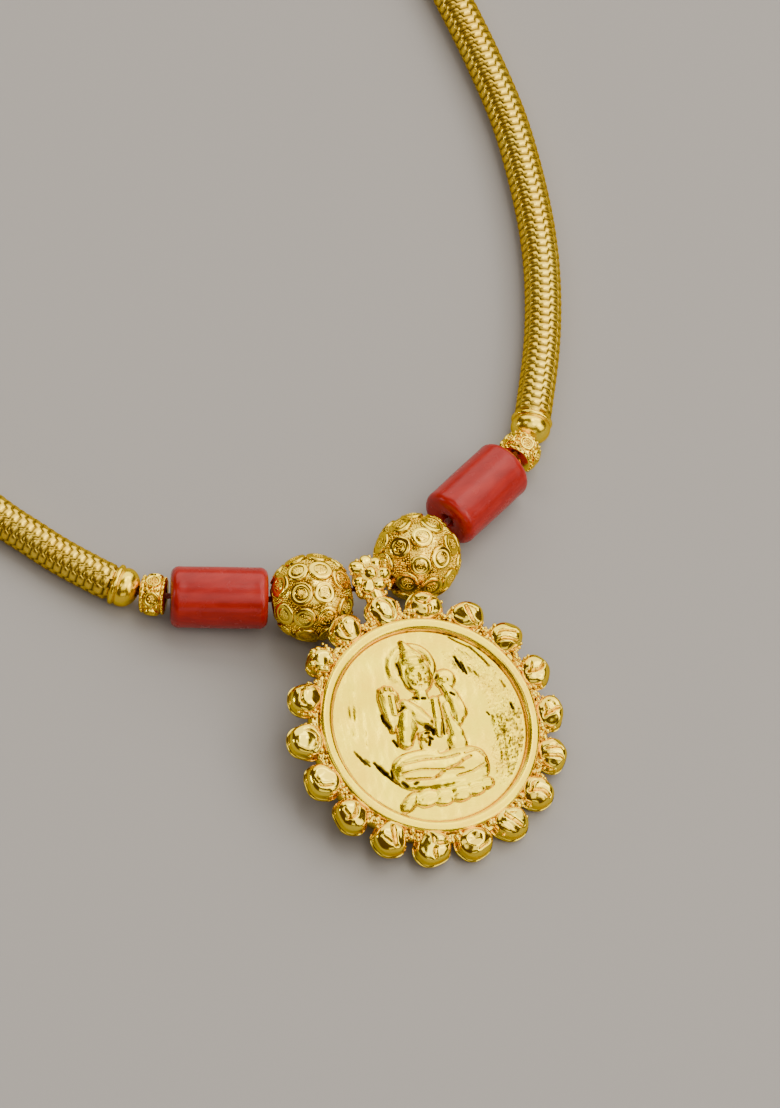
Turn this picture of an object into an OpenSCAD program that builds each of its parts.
// Temple necklace laid on a table: two woven gold chains, capped at both ends,
// a front string of coral tubes and gold balls, and a cast coin pendant.
// Millimetres, +Z up. The table is z = 0, the pendant points to -Y and the
// clasp lies at +Y. The origin is under the middle of the whole necklace.

/* [Chain] */
// Diameter of the woven chain
chain_d = 4.1; // [3.9:0.05:4.2]
// Diameter of the chain where it is pinched into a cap or the clasp
pinch_d = 3.5; // [3.2:0.1:3.6]
// Length of each end cap
cap_len = 3; // [2.8:0.05:3]
// Diameter of each end cap
cap_d = 4.6; // [4.4:0.05:4.7]
// Length of the plain clasp at the back
clasp_len = 12; // [10:0.5:12]
// Diameter of the clasp
clasp_d = 5; // [4.8:0.1:5.2]

/* [Beads] */
// Diameter of each gold ball, over its studs
ball_d = 9.6; // [9.4:0.05:9.6]
// How far the studs stand proud of the ball
stud_h = 0.2; // [0.1:0.05:0.25]
// Diameter of the hole through a gold ball
ball_bore = 2.6; // [2.4:0.1:2.6]
// Diameter of the coral tubes
coral_d = 6.8; // [6.5:0.1:6.8]
// Length of the left coral tube
coral_left_len = 10.7; // [10.2:0.1:10.7]
// Length of the right coral tube
coral_right_len = 10.5; // [10:0.1:10.6]
// Radius of the rounded edges of a coral tube
coral_edge = 0.9; // [0.5:0.1:1.1]
// Diameter of the spacer beads, over their rosettes
spacer_d = 4.6; // [4.4:0.1:4.7]
// Length of the spacer beads
spacer_len = 2.8; // [2.6:0.1:2.8]
// Diameter of the hole through a coral tube or spacer bead
bead_bore = 1.6; // [1.5:0.1:1.8]
// Diameter of the stringing thread
thread_d = 0.7; // [0.5:0.1:0.8]

/* [Pendant] */
// Radius of the coin's sunk field
field_r = 11.05; // [10.8:0.05:11.1]
// Width of the raised ring round the field
rim_w = 1.25; // [1.1:0.05:1.3]
// How far the field lies under the ring's top
field_sink = 0.55; // [0.4:0.05:0.7]
// Thickness of the coin from the ring's top to its flat back
coin_t = 2.3; // [2.1:0.1:2.3]
// Number of domes round the coin
dome_count = 18; // [16:1:18]
// Radius of each border dome
dome_r = 1.75; // [1.7:0.05:1.8]
// Radius of the circle through the domes' centres
dome_circle = 13.95; // [13.9:0.05:14.1]
// From the coin's centre to the bail's axis, along the face
drop = 18.3; // [18.3:0.1:18.6]
// From the ring's top down to the bail's axis
bail_sink = 4.1; // [4:0.1:4.3]
// Diameter of the bail's hole
bail_bore = 2; // [1.8:0.1:2.1]

/* [Lay] */
// How steeply the pendant rises from its far edge to the bail
rise = 11.9; // [11.6:0.1:12.4]
// How far the pendant leans down to the right
lean = 4.2; // [4:0.1:4.4]

/* [Hidden] */
// Curves are drawn with this many facets on large and small forms
$fn = 64;
fine = 32;
// Routes of the chains, from the front cap to the clasp, chosen by hand: x and y, seen from the bail
RIGHT_ROUTE = [[31.6, 22.2], [34.3, 28], [36.5, 34], [38.3, 41], [39.8, 50], [40.2, 58.5], [40.1, 67.2],
    [39.8, 77.5], [39.1, 87.7], [38, 98], [36.5, 108.3], [34.6, 118.6], [32.1, 128.8], [28.8, 138.7],
    [24.5, 147.7], [19.4, 154.9], [13.8, 160.1], [8.8, 163]];
LEFT_ROUTE = [[-28.7, 16.1], [-31, 19.6], [-33.2, 23.1], [-36.4, 29.4], [-39, 36.4], [-41, 44.4],
    [-42.2, 53], [-42.8, 62], [-43, 71.8], [-42.8, 82.1], [-42.2, 92.9], [-41.1, 103.7], [-39.4, 114.5],
    [-36.9, 125.2], [-33.4, 136.2], [-28.7, 146.7], [-23.4, 154.6], [-17.8, 160.1], [-12.8, 163]];
// Thread from the left cap to the right cap, chosen by hand: x, y and z, seen from the bail
THREAD_ROUTE = [[-22.9, 9.3, 2.35], [-22.4, 8.8, 2.45], [-21.1, 7.95, 2.75], [-19.9, 7, 3.2], [-18.5, 6.25, 3.5],
    [-15, 4.7, 3.75], [-11.5, 3.3, 4], [-10.1, 2.5, 4.15], [-8.8, 1.95, 4.4], [-6, 0.9, 4.8], [-1.6, 0, 5.2],
    [0.6, -0.3, 5.25], [2.8, -0.1, 5.1], [7, 1.6, 4.9], [11, 3.6, 4.5], [12.3, 4.65, 4.2], [13.6, 5.35, 4.05],
    [17, 7, 3.75], [20.4, 8.7, 3.5], [21.9, 9.5, 3.2], [23.8, 10.65, 2.75], [25, 11.7, 2.5], [25.7, 12.3, 2.35]];
// Front string: middle of each piece, the way its axis points in plan and how much it falls, from the bail
BALL_LEFT = [-5.55, 0.7];
BALL_RIGHT = [7.4, 1.45];
CORAL_LEFT = [-14.85, 4.65];
CORAL_RIGHT = [17.1, 7.1];
SPACER_LEFT = [-21.15, 8];
SPACER_RIGHT = [24.05, 10.9];
CAP_LEFT = [-23.6, 9.95];
CAP_RIGHT = [26.35, 13.2];
BALL_TURN = [166, 27];
BALL_FALL = [8, 0];
CORAL_TURN = [157, 26];
SPACER_TURN = [148, 40];
CAP_TURN = [135.5, 58];
coral_fall = 3.9;
CLASP = [-2, 164];
// Heights of the axes over the table
chain_z = chain_d / 2;
cap_z = cap_d / 2;
clasp_z = clasp_d / 2;
spacer_fall = 9;
spacer_z = spacer_d / 2 + 0.3;
coral_z = coral_d / 2 * cos(coral_fall) + coral_left_len / 2 * sin(coral_fall);
ball_z = ball_d / 2;
// Fits: the pocket round a pinched chain end, and the clearances
fit = 0.15;
pocket_d = pinch_d + 2 * fit;
cap_pocket = cap_len - 1.3;
clasp_pocket = 2.2;
cap_hole = 1.3;
// Places on the coin, measured down from the ring's top
rim_r = field_r + rim_w;
plate_r = 13.4;
plate_w = -0.75;
dome_w = dome_r * -0.75;
dome_cut_r = sqrt(pow(dome_r, 2) - pow(coin_t + dome_w, 2));
// Height of the bail's axis that sets the coin's far edge on the table
steep = acos(cos(rise) * cos(lean));
bail_z = drop * sin(rise) + (dome_circle + dome_cut_r) * sin(steep) - (bail_sink - coin_t) * cos(steep);
// The bail's short tube lies this far to the right of the pendant's middle
tube_shift = 0.6;
tube_len = 2.1;
tube_r = 1.55;
// Middle of the whole necklace, measured from the bail
left_edge = min([for (p = LEFT_ROUTE) p[0]]) - chain_d / 2;
right_edge = max([for (p = RIGHT_ROUTE) p[0]]) + chain_d / 2;
front_edge = -(drop + dome_circle + dome_r) * cos(rise) - (bail_sink + dome_w) * sin(rise);
back_edge = CLASP[1] + clasp_d / 2;
MIDDLE = [(left_edge + right_edge) / 2, (front_edge + back_edge) / 2, 0];

// Unit vector along v
function unit(v) = v / norm(v);
// Point at t, from 0 to 1, on the smooth curve from b to c, with a before and d after them
function smooth(a, b, c, d, t) = 0.5 * (2 * b + (c - a) * t + (2 * a - 5 * b + 4 * c - d) * t * t
    + (3 * b - a - 3 * c + d) * t * t * t);
// Smooth curve through the points p, with n steps between each two
function curve(p, n) = let (q = concat([2 * p[0] - p[1]], p, [2 * p[len(p) - 1] - p[len(p) - 2]]))
    concat([for (i = [1 : len(q) - 3]) for (k = [0 : n - 1])
        smooth(q[i - 1], q[i], q[i + 1], q[i + 2], k / n)], [p[len(p) - 1]]);
// Direction of the curve p at its point i
function heading(p, i) = unit(p[min(i + 1, len(p) - 1)] - p[max(i - 1, 0)]);
// Ring of n points, radius r, round the point c and square to the direction t
function ring(c, t, r, n) = let (side = unit(cross(t, [0, 0, 1])), up = cross(side, t))
    [for (k = [0 : n - 1]) c + r * (cos(k * 360 / n) * side + sin(k * 360 / n) * up)];
// Points of an arc of radius r round [x, y], from angle a to angle b
function arc(x, y, r, a, b, n = 8) = [for (k = [0 : n]) let (t = a + (b - a) * k / n) [x + r * cos(t), y + r * sin(t)]];

// Solid tube along the points p, with one radius for each point
module swept_tube(p, r, n) {
    rings = [for (i = [0 : len(p) - 1]) each ring(p[i], heading(p, i), r[i], n)];
    last = len(p) - 1;
    sides = [for (i = [0 : last - 1]) for (k = [0 : n - 1]) let (m = (k + 1) % n) each
        [[i * n + k, i * n + m, (i + 1) * n + m], [i * n + k, (i + 1) * n + m, (i + 1) * n + k]]];
    ends = [for (k = [1 : n - 2]) each [[0, k + 1, k], [last * n, last * n + k, last * n + k + 1]]];
    polyhedron(points = rings, faces = concat(sides, ends));
}

// Lays a piece whose axis is X with its middle at [x, y] and z, turned in plan and falling outward
module lay(at, z, turn, fall = 0) {
    translate([at[0], at[1], z]) rotate([0, 0, turn]) rotate([0, fall, 0]) children();
}

// Moves the whole necklace so that its middle is over the origin
module centred() {
    translate(-MIDDLE) children();
}

// Solid turned from a profile of [along, radius] points round the X axis
module turned(profile) {
    rotate([0, 90, 0]) rotate_extrude() polygon([for (p = profile) [p[1], p[0]]]);
}

// Hole of diameter d along the X axis, from a to b
module hole(d, a, b) {
    translate([a, 0, 0]) rotate([0, 90, 0]) cylinder(h = b - a, d = d);
}

// End point of a cap's or the clasp's axis, as far out as the chain's pinched end reaches
function mouth(at, turn, out, z) = [at[0] + out * cos(turn), at[1] + out * sin(turn), z];

// One chain: a pinched end in its cap, the smooth run on the table, a pinched end in the clasp
module chain(cap_at, turn, route, clasp_side) {
    cap_ends = [for (x = [-cap_pocket + fit, 2 * fit, 3 * fit, 1.4]) mouth(cap_at, turn, cap_len / 2 + x, cap_z)];
    clasp_ends = [for (x = [1.6, 3 * fit, 2 * fit, -clasp_pocket + fit])
        [CLASP[0] + clasp_side * (clasp_len / 2 + x), CLASP[1], clasp_z]];
    run = curve(concat([cap_ends[3]], [for (p = route) [p[0], p[1], chain_z]], [clasp_ends[0]]), 2);
    path = concat([for (i = [0 : 2]) cap_ends[i]], run, [for (i = [1 : 3]) clasp_ends[i]]);
    pinch = pinch_d / 2;
    radii = concat([pinch, pinch], [for (i = [0 : len(run) + 1]) chain_d / 2], [pinch, pinch]);
    centred() swept_tube(path, radii, 12);
}

module chain_left() {
    color("gold") chain(CAP_LEFT, CAP_TURN[0], LEFT_ROUTE, -1);
}

module chain_right() {
    color("gold") chain(CAP_RIGHT, CAP_TURN[1], RIGHT_ROUTE, 1);
}

// Domed cup over a chain's end, with a rolled lip and a hole for the thread
module chain_cap(at, turn) {
    half = cap_len / 2;
    r = cap_d / 2 - 0.1;
    dome = [for (k = [0 : 8]) let (t = 90 - k * 10) [0.2 - (half + 0.2) * cos(t), r * sin(t)]];
    lip = arc(half - 0.3, r - 0.2, 0.3, 90, 0, 4);
    difference() {
        lay(at, cap_z, turn) turned(concat([[-half, 0]], [for (k = [8 : -1 : 0]) dome[k]],
            [[half - 0.7, r]], lip, [[half, 0]]));
        lay(at, cap_z, turn) hole(pocket_d, half - cap_pocket, half + 1);
        lay(at, cap_z, turn) hole(cap_hole, -half - 1, 0);
    }
}

module chain_cap_left() {
    color("goldenrod") centred() chain_cap(CAP_LEFT, CAP_TURN[0]);
}

module chain_cap_right() {
    color("goldenrod") centred() chain_cap(CAP_RIGHT, CAP_TURN[1]);
}

// Plain barrel at the back that takes both chain ends
module back_clasp() {
    half = clasp_len / 2;
    r = clasp_d / 2;
    color("goldenrod") centred() translate([CLASP[0], CLASP[1], clasp_z]) difference() {
        turned(concat([[-half, 0]], arc(-half + 0.4, r - 0.4, 0.4, 180, 90, 4), [[-half + 1.2, r],
            [-half + 1.4, r - 0.3], [half - 1.4, r - 0.3], [half - 1.2, r]],
            arc(half - 0.4, r - 0.4, 0.4, 90, 0, 4), [[half, 0]]));
        hole(pocket_d, half - clasp_pocket, half + 1);
        hole(pocket_d, -half - 1, -half + clasp_pocket);
    }
}

// Rosette on a bead's side: a round stud with a raised eye, its foot at radius a and its top at radius b
module rosette(a, b, d) {
    translate([0, 0, a]) cylinder(h = b - a, d = d, $fn = fine);
    translate([0, 0, b - 0.1]) cylinder(h = 0.2, d = d * 0.4, $fn = fine);
}

// Short barrel bead with six rosettes, granules between them and a collar at each end
module spacer_bead(at, turn) {
    half = spacer_len / 2;
    r = spacer_d / 2;
    difference() {
        lay(at, spacer_z, turn, spacer_fall) {
            turned([[-half, 0], [-half, r - 0.6], [-half + 0.2, r - 0.35], [-half + 0.45, r - 0.55], [-0.6, r - 0.3],
                [0.6, r - 0.3], [half - 0.45, r - 0.55], [half - 0.2, r - 0.35], [half, r - 0.6], [half, 0]]);
            for (k = [0 : 5]) rotate([k * 60 + 15, 0, 0]) rosette(r - 1, r - 0.1, 1.7);
            for (k = [0 : 5]) for (s = [-1, 1]) rotate([k * 60 + 45, 0, 0])
                translate([s * 0.55, 0, r - 0.3]) sphere(r = 0.3, $fn = fine);
        }
        lay(at, spacer_z, turn, spacer_fall) hole(bead_bore, -half - 1, half + 1);
    }
}

module spacer_bead_left() {
    color("gold") centred() spacer_bead(SPACER_LEFT, SPACER_TURN[0]);
}

module spacer_bead_right() {
    color("gold") centred() spacer_bead(SPACER_RIGHT, SPACER_TURN[1]);
}

// Coral tube with rounded edges, drilled for the thread
module coral_bead(at, turn, length) {
    half = length / 2;
    r = coral_d / 2;
    e = coral_edge;
    difference() {
        lay(at, coral_z, turn, coral_fall) turned(concat([[-half, 0]], arc(-half + e, r - e, e, 180, 90),
            arc(half - e, r - e, e, 90, 0), [[half, 0]]));
        lay(at, coral_z, turn, coral_fall) hole(bead_bore, -half - 1, half + 1);
    }
}

module coral_bead_left() {
    color("firebrick") centred() coral_bead(CORAL_LEFT, CORAL_TURN[0], coral_left_len);
}

module coral_bead_right() {
    color("firebrick") centred() coral_bead(CORAL_RIGHT, CORAL_TURN[1], coral_right_len);
}

// Stud of a gold ball, its axis Z from the ball's middle: a disc with a ring cut round its eye
module stud(d) {
    r = d / 2;
    top = sqrt(pow(ball_d / 2, 2) - pow(r - 0.08, 2));
    foot = top - 0.35;
    rotate_extrude($fn = fine) polygon([[0, foot], [r, foot], [r, top - 0.06], [r - 0.08, top], [r * 0.7, top],
        [r * 0.66, top - 0.12], [r * 0.56, top - 0.12], [r * 0.52, top - 0.03], [0, top]]);
}

// Rows of studs on each ball: how far the row lies from the ball's waist, how many studs it has,
// the turn of its first stud round the bore and their diameter
STUDS_LEFT = [[16, 10, -21, 2.3], [-16, 10, -24, 2.3], [47, 6, 7, 2.2], [-47, 6, 0, 2.2]];
STUDS_RIGHT = [[0, 9, 1, 2.2], [-30, 8, -16, 2.2], [30, 8, -5, 2.2], [60, 4, -20, 1.7], [-60, 4, 47, 1.7]];

// Ball with rows of studs round its bore
module gold_ball(at, turn, fall, rows) {
    half = ball_d / 2;
    difference() {
        lay(at, ball_z, turn, fall) {
            rotate([9, 0, 0]) rotate([0, 90, 0]) sphere(r = half - stud_h);
            for (row = rows) for (k = [0 : row[1] - 1])
                rotate([row[2] + k * 360 / row[1], 0, 0]) rotate([0, row[0], 0]) stud(row[3]);
        }
        lay(at, ball_z, turn, fall) hole(ball_bore, -half - 1, half + 1);
    }
}

module gold_ball_left() {
    color("gold") centred() gold_ball(BALL_LEFT, BALL_TURN[0], BALL_FALL[0], STUDS_LEFT);
}

module gold_ball_right() {
    color("gold") centred() gold_ball(BALL_RIGHT, BALL_TURN[1], BALL_FALL[1], STUDS_RIGHT);
}

module stringing_thread() {
    path = curve(THREAD_ROUTE, 1);
    color("darkred") centred() swept_tube(path, [for (p = path) thread_d / 2], 8);
}

// Limb of the relief between two points in the face, with a rounded joint at each end
module limb(a, b, ra, rb, w = 0) {
    run = b - a;
    translate([a[0], a[1], w]) rotate([0, 0, atan2(run[1], run[0])]) rotate([0, 90, 0])
        cylinder(h = norm(run), r1 = ra, r2 = rb, $fn = fine);
    translate([a[0], a[1], w]) sphere(r = ra * 1.06, $fn = fine);
    translate([b[0], b[1], w]) sphere(r = rb * 1.06, $fn = fine);
}

// Egg-shaped form with its long axis along Y, half-length h and radius r, sunk by s
module egg(at, h, r, s) {
    translate([at[0], at[1], -field_sink - s]) rotate([-90, 0, 0]) rotate_extrude($fn = fine)
        polygon(concat([[0, -h]], [for (k = [1 : 11]) let (t = -90 + k * 15) [r * cos(t), h * sin(t)]], [[0, h]]));
}

// Arms of the seated figure: two points of each limb and its two radii
ARMS = [[[-2.6, 2.4], [-4.6, 0.9], 0.95, 0.8], [[-4.6, 0.9], [-3.7, 3.6], 0.8, 0.65],
    [[2.5, 2.2], [4.1, 0.5], 0.95, 0.8], [[4.1, 0.5], [3.6, 3.2], 0.8, 0.65],
    [[-2.4, 1.9], [-4, -1.3], 0.95, 0.8], [[-4, -1.3], [-1, -1.2], 0.8, 0.6],
    [[2.2, 1.7], [3.2, -1], 0.95, 0.8], [[3.2, -1], [1.6, -2.2], 0.8, 0.6]];
// Crossed legs: two points of each part and its two radii
LEGS = [[[-0.8, -3.7], [-4.2, -4.7], 1.4, 1.35], [[0.8, -3.7], [4, -4.5], 1.4, 1.35],
    [[-4, -6.1], [1.8, -6], 1.1, 0.9], [[4.1, -5.8], [-1, -6.7], 1.05, 0.8]];
// Lotus petals under the figure: their middles
PETALS = [[-4.7, -8.3], [-2.5, -8.7], [-0.2, -8.8], [2.1, -8.6], [4.3, -8.1]];

// Seated four-armed figure on a lotus, raised on the field
module figure() {
    low = -field_sink;
    intersection() {
        translate([0, 0, low - 0.2]) cylinder(h = 3, r = field_r - 0.6);
        union() {
            translate([-0.4, 6.6, low]) rotate_extrude($fn = fine) translate([2.4, 0]) circle(r = 0.3, $fn = fine);
            egg([-0.2, 5.8], 2.3, 1.5, 0.5);
            translate([-0.3, 7.5, low]) rotate([-90, 0, 0]) cylinder(h = 2.5, r1 = 1, r2 = 0.2, $fn = fine);
            limb([-0.2, 4], [-0.2, 2.8], 0.7, 0.9, low);
            limb([0, 1.9], [-0.1, -1.8], 2.3, 1.7, low - 1.2);
            for (m = ARMS) limb(m[0], m[1], m[2], m[3], low + 0.1);
            for (m = LEGS) limb(m[0], m[1], m[2], m[3], low - 0.35);
            for (p = [[-4.3, 4.8], [3.1, 4.8]]) translate([p[0], p[1], low - 0.1]) sphere(r = 0.95, $fn = fine);
            for (p = PETALS) translate([p[0], p[1], low - 0.4]) sphere(r = 1.25, $fn = fine);
        }
    }
}

// Coin with its raised ring and the plate that the border is soldered on
module coin() {
    rotate_extrude() polygon(concat([[0, -coin_t], [plate_r, -coin_t], [plate_r, plate_w], [rim_r + 0.1, plate_w],
        [rim_r, -0.35]], arc(rim_r - 0.35, -0.35, 0.35, 0, 90, 4), arc(field_r + 0.35, -0.35, 0.35, 90, 180, 4),
        [[field_r, -field_sink], [0, -field_sink]]));
}

// Border: domes all round, flat at the back, with granules at their roots
module border() {
    step = 360 / dome_count;
    intersection() {
        translate([0, 0, -coin_t]) cylinder(h = 6, r = dome_circle + 3);
        union() {
            for (k = [0 : dome_count - 1]) rotate([0, 0, 90 + k * step])
                translate([dome_circle, 0, dome_w]) sphere(r = dome_r);
            for (k = [0 : dome_count - 1]) for (s = [-0.17, 0.17]) rotate([0, 0, 90 + (k + 0.5 + s) * step])
                translate([rim_r + 0.85, 0, plate_w + 0.1]) sphere(r = 0.5, $fn = fine);
        }
    }
}

// Flower over the bail: a base, seven petal domes and a middle dome
module flower() {
    translate([0, 0, -bail_sink + 0.5]) cylinder(h = bail_sink - 1.2, r = 1.25);
    for (k = [0 : 6]) rotate([0, 0, 90 + k * 360 / 7]) translate([1.5, 0, -0.5]) sphere(r = 0.77, $fn = fine);
    translate([0, 0, -0.35]) sphere(r = 1.05, $fn = fine);
}

// Coin, border, relief and bail in one piece, with the thread's hole through the bail's tube
module pendant_metal() {
    difference() {
        union() {
            coin();
            border();
            rotate([0, 0, -6]) figure();
            translate([0, drop, 0]) flower();
            translate([0, drop - 3.4, -1.3]) rotate([-90, 0, 0]) cylinder(h = 3, r1 = 1.2, r2 = 0.95, $fn = fine);
            translate([tube_shift, drop, -bail_sink]) hole(2 * tube_r, -tube_len / 2, tube_len / 2);
        }
        translate([tube_shift, drop, -bail_sink]) hole(bail_bore, -tube_len, tube_len);
    }
}

module coin_pendant() {
    color("gold") centred() translate([0, 0, bail_z]) rotate([rise, 0, 0]) rotate([0, lean, 0])
        translate([0, -drop, bail_sink]) pendant_metal();
}

chain_left();
chain_right();
back_clasp();
chain_cap_left();
chain_cap_right();
spacer_bead_left();
spacer_bead_right();
coral_bead_left();
coral_bead_right();
gold_ball_left();
gold_ball_right();
stringing_thread();
coin_pendant();
